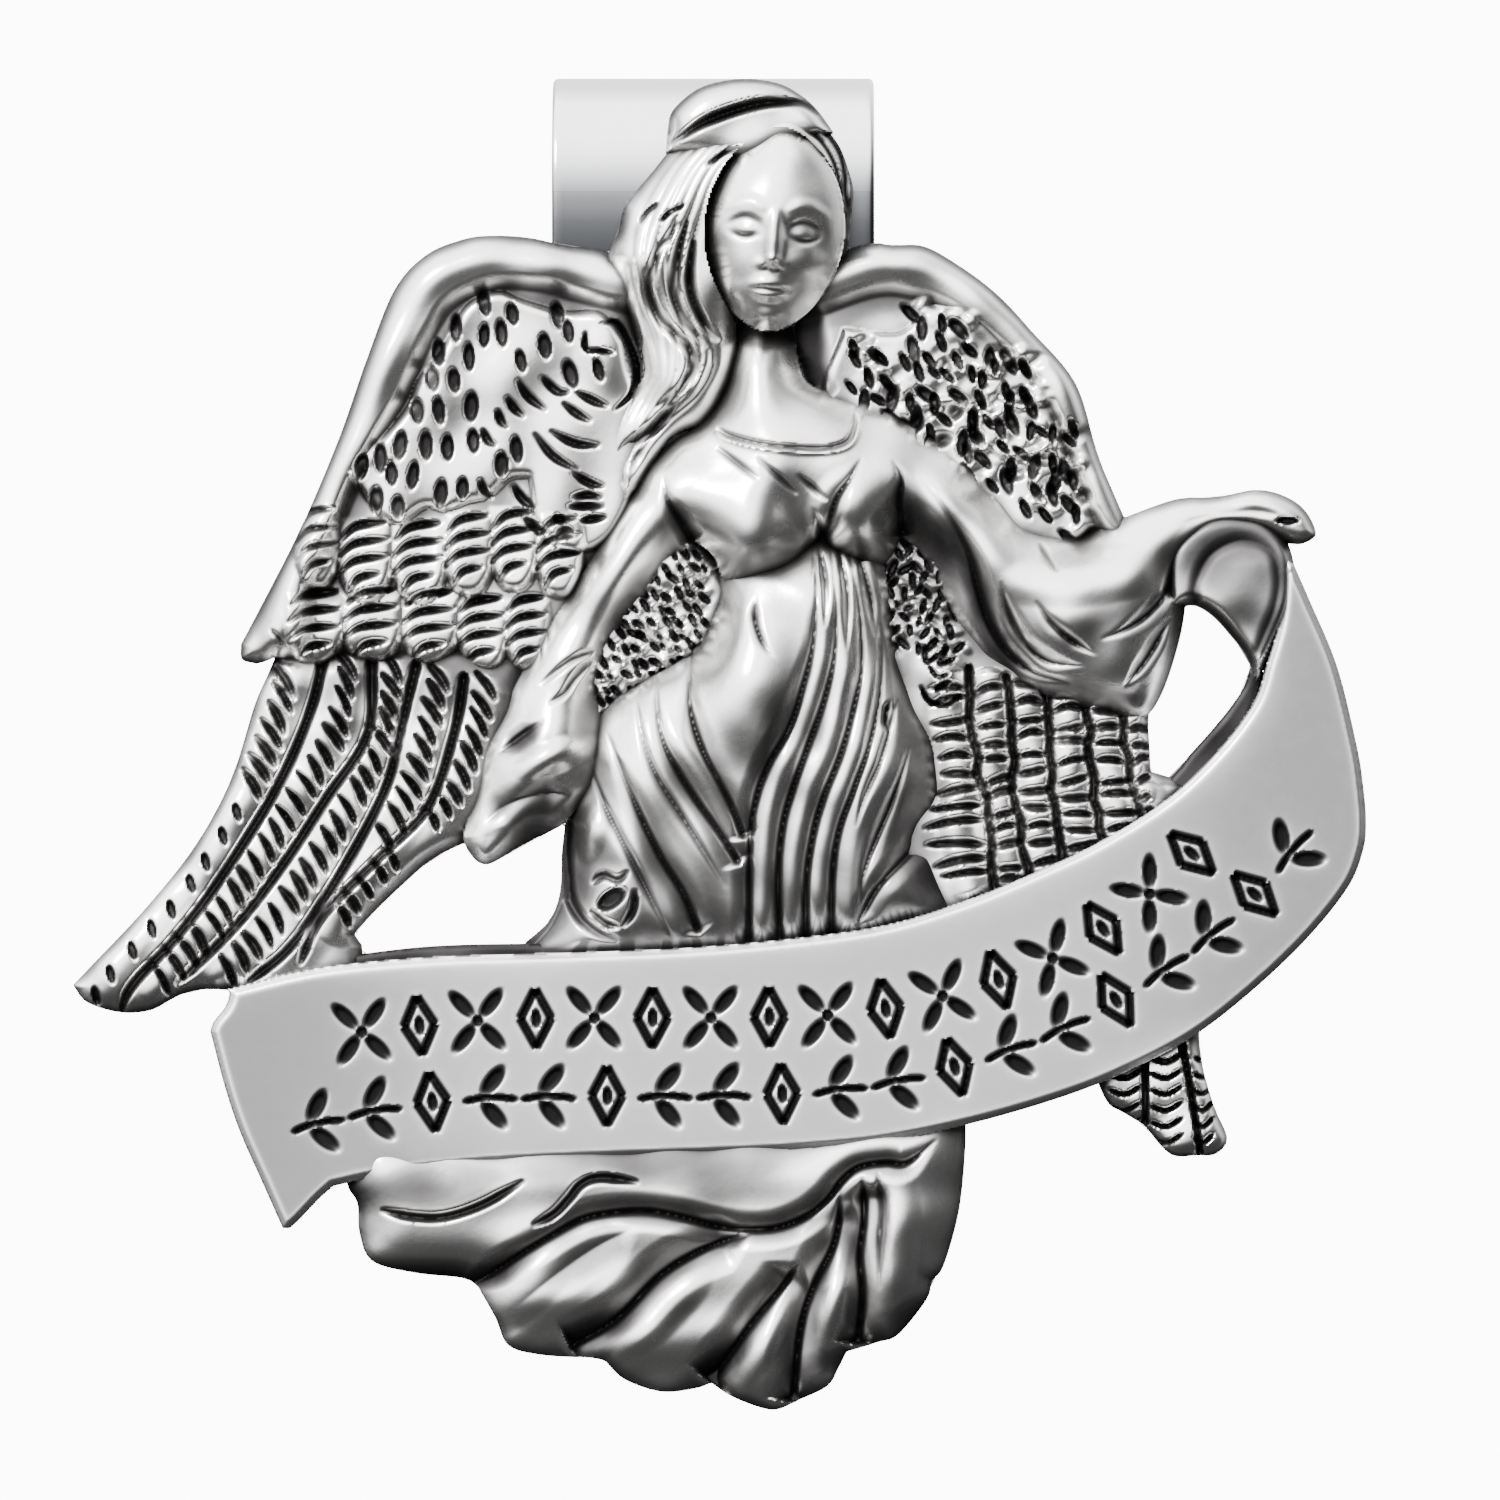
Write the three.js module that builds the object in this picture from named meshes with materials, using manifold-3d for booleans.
// Sun-visor clip ornament: a cast pewter angel with a ribbon banner, staked to a spring-steel visor clip.
// Millimetres, +Z up. The front of the casting looks along -Y and its flat back lies at Y = CAST_BACK.
// The origin is on the inner face of the clip's front leg, where the visor board rests.
// Left and right are the viewer's: left is -X.
import * as THREE from "three";
import { mergeVertices } from "three/addons/utils/BufferGeometryUtils.js";
import Module from "manifold-3d";

const wasm = await Module();
wasm.setup();

// ---- Driving dimensions of the casting ----
const CASTING_WIDTH = 59.95; // left wing tip to the banner's right edge
const CASTING_HEIGHT = 61.7; // crown of the halo to the hem of the skirt
const DRAWN_WIDTH = 59.95; // the size at which the outlines below are drawn
const DRAWN_HEIGHT = 61.7;
const WEB_THICKNESS = 1.2; // the plate that carries every sculpted element
const ELEMENT_GAP = 0.3; // parting line between neighbouring sculpted elements
const EDGE_ROUND = 0.45; // rounding of an element's front edge
const CURVE_STEP = 1.5; // spacing of points on a curved outline

// Heights of the elements above the web
const RIM_HEIGHT = 1.7;
const COVERT_HEIGHT = 1.4;
const FEATHER_HEIGHT = 1.1;
const INNER_FEATHER_HEIGHT = 0.9;
const HALO_HEIGHT = 1.6;
const HAIR_HEIGHT = 3.2;
const BODICE_HEIGHT = 3.4;
const SLEEVE_HEIGHT = 3.2;
const HAND_HEIGHT = 2.6;
const SKIRT_HEIGHT = 2.5;
const HEM_HEIGHT = 2.0;
const BANNER_HEIGHT = 1.9;
const CURL_HEIGHT = 2.3;
const TIP_HEIGHT = 1.5;

// Head: an egg that stands out of the hair
const HEAD_X = 2.7;
const HEAD_Z = 24.1;
const HEAD_WIDTH = 6;
const HEAD_LENGTH = 8.8;
const HEAD_DEPTH = 5.0; // how far the egg reaches in front of the web

// ---- Driving dimensions of the clip ----
const STRIP_WIDTH = 15;
const STRIP_THICKNESS = 0.5;
const BEND_RADIUS = 5; // inside radius of the bend over the visor's edge
const BEND_HEIGHT = 25.95; // height of the bend's centre
const LEG_BOTTOM = -4; // lower end of the front leg
const PINCH_HEIGHT = 0; // where the jaw presses on the visor
const PINCH_OPENING = 1.1; // space between leg and jaw at the pinch, at rest
const LIP_RUN = 4; // how far the lip flares back below the pinch
const LIP_DROP = 5;
const BEND_SPLIT = 0.3; // the two halves of the bend meet across this gap
const END_CORNER = 4; // rounded lower corners of the front leg and the jaw
const BEND_STEPS = 14;

// Stakes: posts cast on the back, passed through the front leg and peened over
const STAKE_DIAMETER = 3;
const STAKE_HEAD_DIAMETER = 4.4;
const STAKE_HEAD_HEIGHT = 0.6;
const STAKE_CLEARANCE = 0.3; // between the post and its hole, all round
const STAKE_HEIGHTS = { upper: 18, lower: 8 };
const ROUND_SEGMENTS = 28;

// ---- Finishes ----
const FINISHES = {
  antique: { color: 0xa3a5a7, metalness: 1, roughness: 0.42 },
  satin: { color: 0xc2c4c6, metalness: 1, roughness: 0.5 },
  spring: { color: 0xb4b7bb, metalness: 1, roughness: 0.28 },
};

const SCALE_X = CASTING_WIDTH / DRAWN_WIDTH;
const SCALE_Z = CASTING_HEIGHT / DRAWN_HEIGHT;
const CAST_BACK = -STRIP_THICKNESS; // flat back of the casting, against the clip's front leg
const WEB_FRONT = CAST_BACK - WEB_THICKNESS;
const FAR = 200;

// ---- Outlines ----
// An outline is a list of stretches. A stretch of two points is straight and a longer one is a smooth
// curve through its points. Each stretch begins where the one before it ended.

const WING_LEFT_TOP = [[-3.6, 22.6], [-6.9, 23.4], [-10, 23.85], [-12.6, 23.4], [-14.8, 21.3],
  [-16.7, 16.2], [-19.1, 10.3], [-21.9, 4.9]];
const WING_LEFT_SIDE = [[-21.9, 4.9], [-20.8, 3.5], [-22.3, -1.2], [-25, -5.7], [-29.7, -10.9]];
const WING_LEFT = [
  WING_LEFT_TOP,
  WING_LEFT_SIDE,
  [[-29.7, -10.9], [-28.3, -12], [-26, -12.05], [-22.6, -11.2]],
  [[-22.6, -11.2], [-22, -12.4]],
  [[-22, -12.4], [-16.2, -11.2]],
  [[-16.2, -11.2], [-16.7, -8.5]],
  [[-16.7, -8.5], [-14.4, -6.25], [-11.4, -4.2]],
  [[-11.4, -4.2], [-9, -2], [-6.8, 3], [-4.2, 8], [-2.8, 11], [-2.4, 16], [-2, 20], [-3.6, 22.6]],
];

const WING_RIGHT_TOP = [[5, 22.8], [8.3, 23.4], [10.7, 22.9], [14.7, 19.5], [17.2, 15.8], [19.4, 10.4]];
const WING_RIGHT = [
  WING_RIGHT_TOP,
  [[19.4, 10.4], [20, 4]],
  [[20, 4], [20, 1.4], [20.4, -1.2]],
  [[20.4, -1.2], [21.6, -2.6]],
  [[21.6, -2.6], [16, -6.6], [11.4, -8.4]],
  [[11.4, -8.4], [8.4, -2], [6, 9], [4.4, 16], [5, 22.8]],
];

const HALO = [
  [[-2.3, 27.9], [-1.9, 29.6], [0, 30.9], [1.5, 31.1], [3, 30.9], [4.9, 29.6]],
  [[4.9, 29.6], [4.2, 28.6]],
  [[4.2, 28.6], [2, 28.8], [-0.4, 27.6]],
  [[-0.4, 27.6], [-2.3, 27.9]],
];

const HAIR = [
  [[-1.8, 27.9], [0.4, 28.8], [2.9, 29.3], [4.8, 28.9], [6, 27.6], [6.5, 25.6], [6.3, 22.6],
    [5.4, 20.4], [4.4, 17.2]],
  [[4.4, 17.2], [2, 16], [-0.2, 14.4]],
  [[-0.2, 14.4], [-2.2, 13.6], [-4.2, 12.1]],
  [[-4.2, 12.1], [-4.5, 14.8], [-3.3, 17.6], [-4, 20.6], [-4.7, 23.2], [-4, 25.3], [-2.3, 27.4],
    [-1.8, 27.9]],
];

const BODICE = [
  [[1, 19.6], [1, 17.4], [-1.2, 14.6], [-3.8, 12], [-2.4, 9.9]],
  [[-2.4, 9.9], [-0.4, 9.7], [0.9, 7.6], [3, 7.1], [5.1, 8.7], [7.2, 8.3], [8.8, 9.9]],
  [[8.8, 9.9], [9.4, 12.6], [7.6, 15.9], [5, 16.9], [4, 19.4]],
  [[4, 19.4], [1, 19.6]],
];

const SLEEVE_LEFT = [
  [[-3.6, 12.2], [-5.4, 9.4], [-8.3, 4.6], [-10.4, 0.1], [-11.6, -4]],
  [[-11.6, -4], [-10.8, -5.3], [-8.8, -4.4], [-5.8, -2.3], [-4.8, -0.4], [-5.3, 2.2], [-4.4, 5.6],
    [-1.6, 9.2], [-2, 11]],
  [[-2, 11], [-3.6, 12.2]],
];

const SLEEVE_RIGHT = [
  [[5.6, 16.7], [8, 15.7], [10.9, 14], [14.6, 10.7], [17.2, 10], [20, 11.1], [22.4, 11.7]],
  [[22.4, 11.7], [22.3, 9.6]],
  [[22.3, 9.6], [21.6, 7.6], [21.8, 6], [20.8, 2.6], [19.6, 1.4]],
  [[19.6, 1.4], [16, 2.3], [12.8, 4.2], [10.5, 7.4], [8.8, 9.9]],
  [[8.8, 9.9], [8.8, 12.4], [7.4, 14.2], [5.4, 15.4]],
  [[5.4, 15.4], [5.6, 16.7]],
];

const HAND_RIGHT = [
  [[22.2, 11.7], [25, 12.05], [27, 11.5], [27.95, 10]],
  [[27.95, 10], [26.4, 9.7], [24.5, 10.1], [22.2, 9.7]],
  [[22.2, 9.7], [22.2, 11.7]],
];

const INNER_WING = [
  [[-2.2, 9.6], [-0.5, 9.3], [0.3, 7.4], [-0.8, 5], [-3.5, 3.3], [-5.2, 1.9]],
  [[-5.2, 1.9], [-5.2, 4.4], [-2.2, 9.6]],
];

const SKIRT_UPPER = [
  [[0.9, 8.2], [-0.1, 6], [-1.8, 4], [-5, 1.6], [-5.6, -1.6], [-7, -3.6]],
  [[-7, -3.6], [-7.15, -6.8], [-8.7, -10.6]],
  [[-8.7, -10.6], [12.2, -8.6]],
  [[12.2, -8.6], [11.4, -6], [9.9, -3.9]],
  [[9.9, -3.9], [10.6, -2], [9.4, 2.2], [8.4, 6], [7.4, 8.9]],
  [[7.4, 8.9], [4, 8], [0.9, 8.2]],
];

const SKIRT_LOWER = [
  [[-17.2, -18], [-16.8, -20.6], [-16.4, -22.6], [-14.6, -24.1]],
  [[-14.6, -24.1], [-11.4, -24.6], [-9.9, -27], [-8, -28]],
  [[-8, -28], [-5.2, -28.3], [-2.8, -29.7], [-0.1, -29.35]],
  [[-0.1, -29.35], [2.7, -30.6], [5.3, -29.5], [6.4, -27.8]],
  [[6.4, -27.8], [8.6, -27.1], [10.2, -24.6], [11.3, -21.8], [11.7, -16.4]],
  [[11.7, -16.4], [-17.2, -18]],
];

const WING_TIPS_RIGHT = [
  [[17.2, -14.6], [18.4, -16.4], [20, -17.4]],
  [[20, -17.4], [21.4, -18.85], [23.2, -18.8], [23.85, -18], [22.9, -15.4], [22.5, -12.2]],
  [[22.5, -12.2], [17.2, -14.6]],
];

const BANNER = [
  [[-22.55, -11.1], [-18.2, -10.1], [-10, -9.45], [2, -9], [9.5, -7.6], [16.3, -5.1],
    [22.3, -1.3], [25.4, 3], [26.4, 8.2]],
  [[26.4, 8.2], [27.2, 8.2]],
  [[27.2, 8.2], [28.2, 5.6], [29.8, 0.3], [30.25, -3.3], [29.35, -6.45], [24.55, -11.5],
    [19, -14.95], [10, -17.7], [0, -18.7], [-11, -19.2], [-17.6, -20.2]],
  [[-17.6, -20.2], [-19.8, -22.15]],
  [[-19.8, -22.15], [-21.9, -17.75], [-23.3, -13.05], [-22.55, -11.1]],
];

const BANNER_CURL = [
  [[22.2, 7], [23.2, 9.2], [25, 9.6], [26.4, 8.4], [26.2, 6.5], [25, 4.1]],
  [[25, 4.1], [24.1, 5.2], [22.2, 7]],
];

// Open curves that divide the feathered areas
const RIM_LEFT_INNER = [[-2, 20.4], [-6.3, 21.6], [-10.3, 22.1], [-12.4, 21.2], [-14.8, 16.7],
  [-17.4, 11.9], [-19.1, 8], [-19.3, 4.2], [-24, 2]];
const RIM_RIGHT_INNER = [[4, 21.4], [8.6, 21.7], [11.4, 20.4], [14.4, 17.2], [16.3, 13.6], [18, 9], [19, 4]];
const COVERTS_LEFT_UPPER_EDGE = [[-34, 14.6], [-18.4, 11.8], [-14.6, 10.4], [-10.5, 11.5], [-6.4, 9.4], [2, 9]];
const COVERTS_LEFT_MIDDLE_EDGE = [[-34, 9], [-18.6, 7], [-13.5, 6.8], [-9.6, 7.3], [-4, 6], [2, 5.6]];
const COVERTS_LEFT_LOWER_EDGE = [[-34, 3.9], [-24, 4.2], [-19, 3.8], [-12.9, 3.8], [-9.4, 3.2], [-4, 2], [2, 1.6]];
const COVERTS_RIGHT_EDGE = [[4, 8.6], [9, 5.2], [11.6, 3.6], [16, 3], [22, 3]];
const COVERTS_RIGHT_UNDER_ARM = [[0, 16], [8, 12], [14, 8.6], [24, 4.6]];
const PARTINGS_LEFT = [
  [[-17.6, 6], [-18.6, 2], [-21.5, -3.8], [-25, -8.8], [-28, -13]],
  [[-15.7, 6], [-16, 0.8], [-18.8, -3.7], [-22, -8], [-25.6, -12]],
  [[-13.6, 6], [-14.6, 0], [-17.2, -5.6], [-19.5, -9], [-22, -12]],
  [[-11.4, 6], [-12, 0.8], [-14.4, -3.7], [-18.2, -7.8], [-19.8, -11]],
];
const PARTINGS_RIGHT = [
  [[11.8, 6], [12, 1], [12.9, -9]],
  [[13.6, 6], [13.8, 0.5], [14.6, -9]],
  [[15.4, 6], [15.6, 0], [16.3, -9]],
  [[17.3, 6], [17.5, -0.5], [18.4, -9]],
];
const PARTINGS_TIPS = [
  [[19.8, -10], [20.05, -22]],
  [[21.5, -10], [22.1, -15.6], [22.7, -22]],
];

// ---- Geometry helpers ----

const scaled = ([x, z]) => new THREE.Vector2(x * SCALE_X, z * SCALE_Z);

// Points along one stretch, without its last point.
function stretchPoints(stretch) {
  const ends = stretch.map(scaled);
  if (ends.length === 2) {
    return [ends[0]];
  }
  const curve = new THREE.SplineCurve(ends);
  const count = Math.max(ends.length - 1, Math.round(curve.getLength() / CURVE_STEP));
  return curve.getSpacedPoints(count).slice(0, -1);
}

const ring = (outline) => outline.flatMap(stretchPoints);

// Points along an open curve, both ends included.
const path = (points) => [...stretchPoints(points), scaled(points.at(-1))];

// Moves a closed ring outwards by a distance, or inwards by a negative one.
function grow(points, distance) {
  const turn = THREE.ShapeUtils.isClockWise(points) ? -1 : 1;
  const count = points.length;
  return points.map((point, i) => {
    const before = point.clone().sub(points[(i + count - 1) % count]).normalize();
    const after = points[(i + 1) % count].clone().sub(point).normalize();
    const normal = new THREE.Vector2(before.y + after.y, -before.x - after.x).normalize();
    const mitre = Math.max(0.5, normal.x * after.y - normal.y * after.x);
    return point.clone().addScaledVector(normal, (turn * distance) / mitre);
  });
}

// A closed mesh as a manifold solid.
function solid(geometry) {
  const bare = geometry.index ? geometry.toNonIndexed() : geometry.clone();
  bare.deleteAttribute("normal");
  bare.deleteAttribute("uv");
  const merged = mergeVertices(bare, 1e-4);
  return new wasm.Manifold(new wasm.Mesh({
    numProp: 3,
    vertProperties: merged.attributes.position.array,
    triVerts: new Uint32Array(merged.index.array),
  }));
}

// Turns a drawing in X and Y, raised along +Z, to stand in X and Z, raised along -Y.
const STAND_UP = new THREE.Matrix4().set(1, 0, 0, 0, 0, 0, -1, 0, 0, 1, 0, 0, 0, 0, 0, 1);

// A straight-sided solid on a ring, between two Y planes.
function slab(points, back, front) {
  const geometry = new THREE.ExtrudeGeometry(new THREE.Shape(points), {
    depth: back - front,
    bevelEnabled: false,
    steps: 1,
  });
  return solid(geometry.translate(0, 0, -back).applyMatrix4(STAND_UP));
}

// A solid on a ring with a rounded front edge, standing on the web.
function raised(points, height, edge = EDGE_ROUND) {
  const depth = height - edge + 1;
  const geometry = new THREE.ExtrudeGeometry(new THREE.Shape(points), {
    depth,
    steps: 1,
    bevelThickness: edge,
    bevelSize: edge,
    bevelOffset: -edge,
    bevelSegments: 2,
  });
  const whole = solid(geometry.translate(0, 0, -WEB_FRONT - 1).applyMatrix4(STAND_UP));
  return whole.subtract(box([-FAR, WEB_FRONT, -FAR], [FAR, FAR, FAR]));
}

function box(low, high) {
  const size = high.map((value, i) => value - low[i]);
  const geometry = new THREE.BoxGeometry(...size);
  geometry.translate(...low.map((value, i) => value + size[i] / 2));
  return solid(geometry);
}

// The column over a ring, widened by the gap: it clears room for an element in front of another.
const clearing = (points, gap = ELEMENT_GAP) => slab(grow(points, gap), FAR, -FAR);

const without = (body, ...rings) => rings.reduce((left, points) => left.subtract(clearing(points)), body);

// The column between two open curves, half a gap inside each.
function between(first, second) {
  const points = [...path(first), ...path(second).reverse()];
  return slab(grow(points, -ELEMENT_GAP / 2), FAR, -FAR);
}

// The same curve moved sideways, to close off the last column of a row.
const shifted = (curve, dx, dz) => curve.map(([x, z]) => [x + dx, z + dz]);

// ---- Scene ----

const group = new THREE.Group();

function addNode(name, body, finish = FINISHES.antique) {
  const { vertProperties, triVerts } = body.getMesh();
  const geometry = new THREE.BufferGeometry();
  geometry.setAttribute("position", new THREE.BufferAttribute(vertProperties, 3));
  geometry.setIndex(new THREE.BufferAttribute(triVerts, 1));
  geometry.computeVertexNormals();
  const mesh = new THREE.Mesh(geometry, new THREE.MeshStandardMaterial(finish));
  mesh.name = name;
  group.add(mesh);
}

const rings = {
  wingLeft: ring(WING_LEFT),
  wingRight: ring(WING_RIGHT),
  innerWing: ring(INNER_WING),
  halo: ring(HALO),
  hair: ring(HAIR),
  bodice: ring(BODICE),
  sleeveLeft: ring(SLEEVE_LEFT),
  sleeveRight: ring(SLEEVE_RIGHT),
  hand: ring(HAND_RIGHT),
  skirtUpper: ring(SKIRT_UPPER),
  skirtLower: ring(SKIRT_LOWER),
  tips: ring(WING_TIPS_RIGHT),
  banner: ring(BANNER),
  curl: ring(BANNER_CURL),
};

// The continuous flat plate behind everything: the casting's whole silhouette, with its two windows.
function addWeb() {
  const footprints = Object.values(rings).map((points) => slab(points, CAST_BACK, WEB_FRONT));
  addNode("casting_web", footprints.reduce((sum, piece) => sum.add(piece)));
}

// Egg-shaped head in front of the hair, flat where it stands on the web.
function headSolid() {
  const geometry = new THREE.SphereGeometry(0.5, 24, 16);
  geometry.scale(HEAD_WIDTH * SCALE_X, HEAD_DEPTH * 2, HEAD_LENGTH * SCALE_Z);
  geometry.translate(HEAD_X * SCALE_X, WEB_FRONT, HEAD_Z * SCALE_Z);
  return solid(geometry).subtract(box([-FAR, WEB_FRONT, -FAR], [FAR, FAR, FAR]));
}

// Room for the head in the hair: the same egg with the gap all round.
function headClearing() {
  const geometry = new THREE.CylinderGeometry(0.5, 0.5, 1, 24);
  geometry.scale(HEAD_WIDTH * SCALE_X + 2 * ELEMENT_GAP, FAR, HEAD_LENGTH * SCALE_Z + 2 * ELEMENT_GAP);
  geometry.translate(HEAD_X * SCALE_X, 0, HEAD_Z * SCALE_Z);
  return solid(geometry);
}

function addFigure() {
  const room = headClearing();
  addNode("head", headSolid());
  addNode("halo", without(raised(rings.halo, HALO_HEIGHT), rings.hair).subtract(room));
  addNode("hair", without(raised(rings.hair, HAIR_HEIGHT), rings.bodice).subtract(room));
  addNode("bodice", without(raised(rings.bodice, BODICE_HEIGHT), rings.sleeveLeft, rings.sleeveRight)
    .subtract(room));
  addNode("sleeve_left", raised(rings.sleeveLeft, SLEEVE_HEIGHT));
  addNode("sleeve_right", without(raised(rings.sleeveRight, SLEEVE_HEIGHT), rings.curl));
  addNode("hand_right", without(raised(rings.hand, HAND_HEIGHT), rings.sleeveRight, rings.curl,
    rings.banner));
  addNode("skirt_upper", without(raised(rings.skirtUpper, SKIRT_HEIGHT), rings.sleeveLeft, rings.bodice,
    rings.banner));
  addNode("skirt_lower", without(raised(rings.skirtLower, HEM_HEIGHT), rings.banner));
}

function addBanner() {
  addNode("banner", without(raised(rings.banner, BANNER_HEIGHT), rings.curl), FINISHES.satin);
  addNode("banner_curl", raised(rings.curl, CURL_HEIGHT));
}

// Every element that lies in front of a wing clears its own room in it.
const IN_FRONT_OF_LEFT = ["sleeveLeft", "hair", "bodice", "innerWing", "skirtUpper", "banner"];
const IN_FRONT_OF_RIGHT = ["sleeveRight", "hair", "bodice", "skirtUpper", "banner", "curl", "halo"];

function wingArea(points, height, others) {
  const free = others.map((name) => rings[name]);
  return without(raised(points, height), ...free).subtract(headClearing());
}

// Columns of a wing between its dividing curves, each a node.
function addRow(body, names, curves) {
  names.forEach((name, i) => addNode(name, body.intersect(between(curves[i], curves[i + 1]))));
}

function addLeftWing() {
  const far = 40;
  const area = (height) => wingArea(rings.wingLeft, height, IN_FRONT_OF_LEFT);
  const inside = between(RIM_LEFT_INNER, shifted(RIM_LEFT_INNER, far, -far));
  const outside = between(shifted(RIM_LEFT_INNER, -far, far), RIM_LEFT_INNER);
  const above = between(shifted(COVERTS_LEFT_LOWER_EDGE, 0, far), COVERTS_LEFT_LOWER_EDGE);
  addNode("wing_left_rim", area(RIM_HEIGHT).intersect(outside).intersect(above));
  addRow(area(COVERT_HEIGHT).intersect(inside),
    ["wing_left_coverts_upper", "wing_left_coverts_middle", "wing_left_coverts_lower"],
    [shifted(COVERTS_LEFT_UPPER_EDGE, 0, far), COVERTS_LEFT_UPPER_EDGE, COVERTS_LEFT_MIDDLE_EDGE,
      COVERTS_LEFT_LOWER_EDGE]);
  const below = between(COVERTS_LEFT_LOWER_EDGE, shifted(COVERTS_LEFT_LOWER_EDGE, 0, -far));
  addRow(area(FEATHER_HEIGHT).intersect(below),
    [1, 2, 3, 4, 5].map((i) => `wing_left_primary_${i}`),
    [shifted(PARTINGS_LEFT[0], -far, 0), ...PARTINGS_LEFT, shifted(PARTINGS_LEFT[3], far, 0)]);
  addNode("wing_left_inner", without(raised(rings.innerWing, INNER_FEATHER_HEIGHT), rings.sleeveLeft,
    rings.bodice, rings.skirtUpper));
}

function addRightWing() {
  const far = 40;
  const area = (height) => wingArea(rings.wingRight, height, IN_FRONT_OF_RIGHT);
  const inside = between(shifted(RIM_RIGHT_INNER, -far, -far), RIM_RIGHT_INNER);
  const outside = between(RIM_RIGHT_INNER, shifted(RIM_RIGHT_INNER, far, far));
  const above = between(shifted(COVERTS_RIGHT_EDGE, 0, far), COVERTS_RIGHT_EDGE);
  const below = between(COVERTS_RIGHT_EDGE, shifted(COVERTS_RIGHT_EDGE, 0, -far));
  addNode("wing_right_rim", area(RIM_HEIGHT).intersect(outside).intersect(above));
  addRow(area(COVERT_HEIGHT).intersect(inside),
    ["wing_right_coverts", "wing_right_inner"],
    [shifted(COVERTS_RIGHT_UNDER_ARM, 0, far), COVERTS_RIGHT_UNDER_ARM, COVERTS_RIGHT_EDGE]);
  addRow(area(FEATHER_HEIGHT).intersect(below),
    [1, 2, 3, 4, 5].map((i) => `wing_right_primary_${i}`),
    [shifted(PARTINGS_RIGHT[0], -far, 0), ...PARTINGS_RIGHT, shifted(PARTINGS_RIGHT[3], far, 0)]);
  addRow(without(raised(rings.tips, TIP_HEIGHT), rings.banner),
    [1, 2, 3].map((i) => `wing_right_tip_${i}`),
    [shifted(PARTINGS_TIPS[0], -far, 0), ...PARTINGS_TIPS, shifted(PARTINGS_TIPS[1], far, 0)]);
}

// ---- Clip ----

// A strip profile in Y and Z with an even thickness, extruded across the clip's width.
function strip(centreLine) {
  const half = STRIP_THICKNESS / 2;
  const count = centreLine.length;
  const side = (sign) => centreLine.map((point, i) => {
    const along = centreLine[Math.min(i + 1, count - 1)].clone().sub(centreLine[Math.max(i - 1, 0)]);
    const normal = new THREE.Vector2(-along.y, along.x).normalize();
    return point.clone().addScaledVector(normal, sign * half);
  });
  const profile = new THREE.Shape([...side(1), ...side(-1).reverse()]);
  const geometry = new THREE.ExtrudeGeometry(profile, { depth: STRIP_WIDTH, bevelEnabled: false });
  geometry.translate(0, 0, -STRIP_WIDTH / 2);
  // The drawing's X and Y become Y and Z, and its depth becomes X.
  const across = new THREE.Matrix4().set(0, 0, 1, 0, 1, 0, 0, 0, 0, 1, 0, 0, 0, 0, 0, 1);
  return solid(geometry.applyMatrix4(across));
}

// Centre-line points of the bend between two angles, where 0 points to +Y and 90 degrees to +Z.
function bend(from, to) {
  const radius = BEND_RADIUS + STRIP_THICKNESS / 2;
  const points = [];
  for (let i = 0; i <= BEND_STEPS; i += 1) {
    const angle = from + ((to - from) * i) / BEND_STEPS;
    points.push(new THREE.Vector2(BEND_RADIUS + radius * Math.cos(angle),
      BEND_HEIGHT + radius * Math.sin(angle)));
  }
  return points;
}

// A round post with a peened head, turned about Y, standing on the casting's back.
function stake(height) {
  const post = STAKE_DIAMETER / 2;
  const head = STAKE_HEAD_DIAMETER / 2;
  const profile = [
    [0, CAST_BACK],
    [post, CAST_BACK],
    [post, 0],
    [head, 0],
    [head * 0.94, STAKE_HEAD_HEIGHT * 0.5],
    [head * 0.7, STAKE_HEAD_HEIGHT * 0.88],
    [0, STAKE_HEAD_HEIGHT],
  ].map(([r, y]) => new THREE.Vector2(r, y));
  const geometry = new THREE.LatheGeometry(profile, ROUND_SEGMENTS);
  return solid(geometry.translate(0, 0, height));
}

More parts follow.
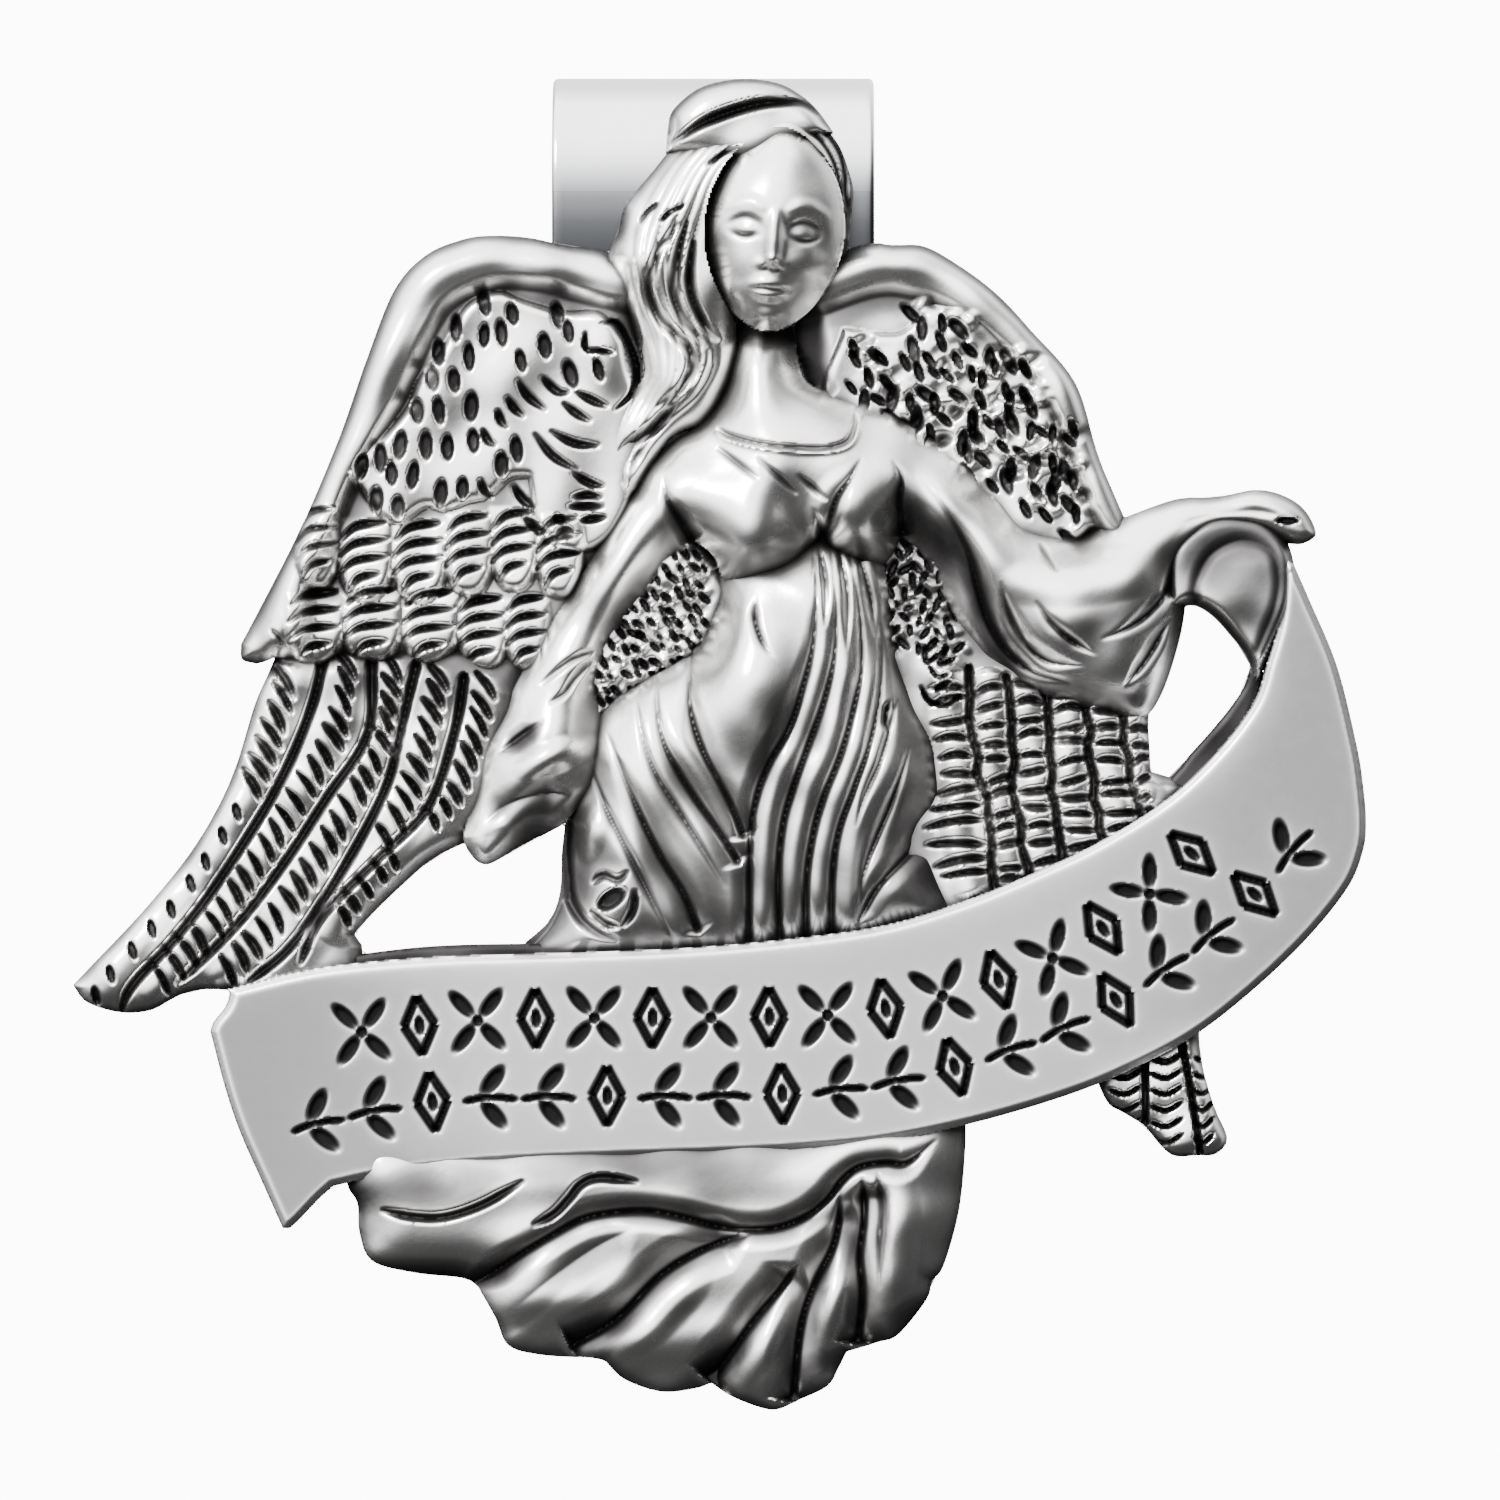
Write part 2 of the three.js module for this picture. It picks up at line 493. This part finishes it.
function stakeHole(height) {
  const radius = STAKE_DIAMETER / 2 + STAKE_CLEARANCE;
  const geometry = new THREE.CylinderGeometry(radius, radius, 4, ROUND_SEGMENTS);
  return solid(geometry.translate(0, 0, height));
}

// The lower corners of the leg and the jaw are rounded by keeping only what lies inside this panel.
function roundedPanel(bottom) {
  const half = STRIP_WIDTH / 2;
  const panel = new THREE.Shape();
  panel.moveTo(-half, FAR);
  panel.lineTo(-half, bottom + END_CORNER);
  panel.absarc(-half + END_CORNER, bottom + END_CORNER, END_CORNER, Math.PI, 1.5 * Math.PI);
  panel.absarc(half - END_CORNER, bottom + END_CORNER, END_CORNER, 1.5 * Math.PI, 2 * Math.PI);
  panel.lineTo(half, FAR);
  const geometry = new THREE.ExtrudeGeometry(panel, { depth: FAR, bevelEnabled: false, curveSegments: 8 });
  return solid(geometry.translate(0, 0, -FAR / 2).applyMatrix4(STAND_UP));
}

function addClip() {
  const half = STRIP_THICKNESS / 2;
  const splitAngle = BEND_SPLIT / 2 / (BEND_RADIUS + half);
  const front = [new THREE.Vector2(-half, LEG_BOTTOM), ...bend(Math.PI, Math.PI / 2 + splitAngle)];
  const heights = Object.values(STAKE_HEIGHTS);
  addNode("clip_front_leg",
    heights.reduce((leg, z) => leg.subtract(stakeHole(z)), strip(front).intersect(roundedPanel(LEG_BOTTOM))),
    FINISHES.spring);

  const pinch = new THREE.Vector2(PINCH_OPENING + half, PINCH_HEIGHT);
  const lip = new THREE.Vector2(pinch.x + LIP_RUN, PINCH_HEIGHT - LIP_DROP);
  const knee = new THREE.QuadraticBezierCurve(
    new THREE.Vector2(pinch.x + 0.5, pinch.y + 1.6), pinch, new THREE.Vector2(pinch.x + 1, pinch.y - 1.4));
  const rear = [...bend(Math.PI / 2 - splitAngle, 0), ...knee.getPoints(8), lip];
  addNode("clip_jaw", strip(rear).intersect(roundedPanel(lip.y - half)), FINISHES.spring);

  for (const [name, height] of Object.entries(STAKE_HEIGHTS)) {
    addNode(`stake_${name}`, stake(height));
  }
}

addWeb();
addFigure();
addBanner();
addLeftWing();
addRightWing();
addClip();

export default group;
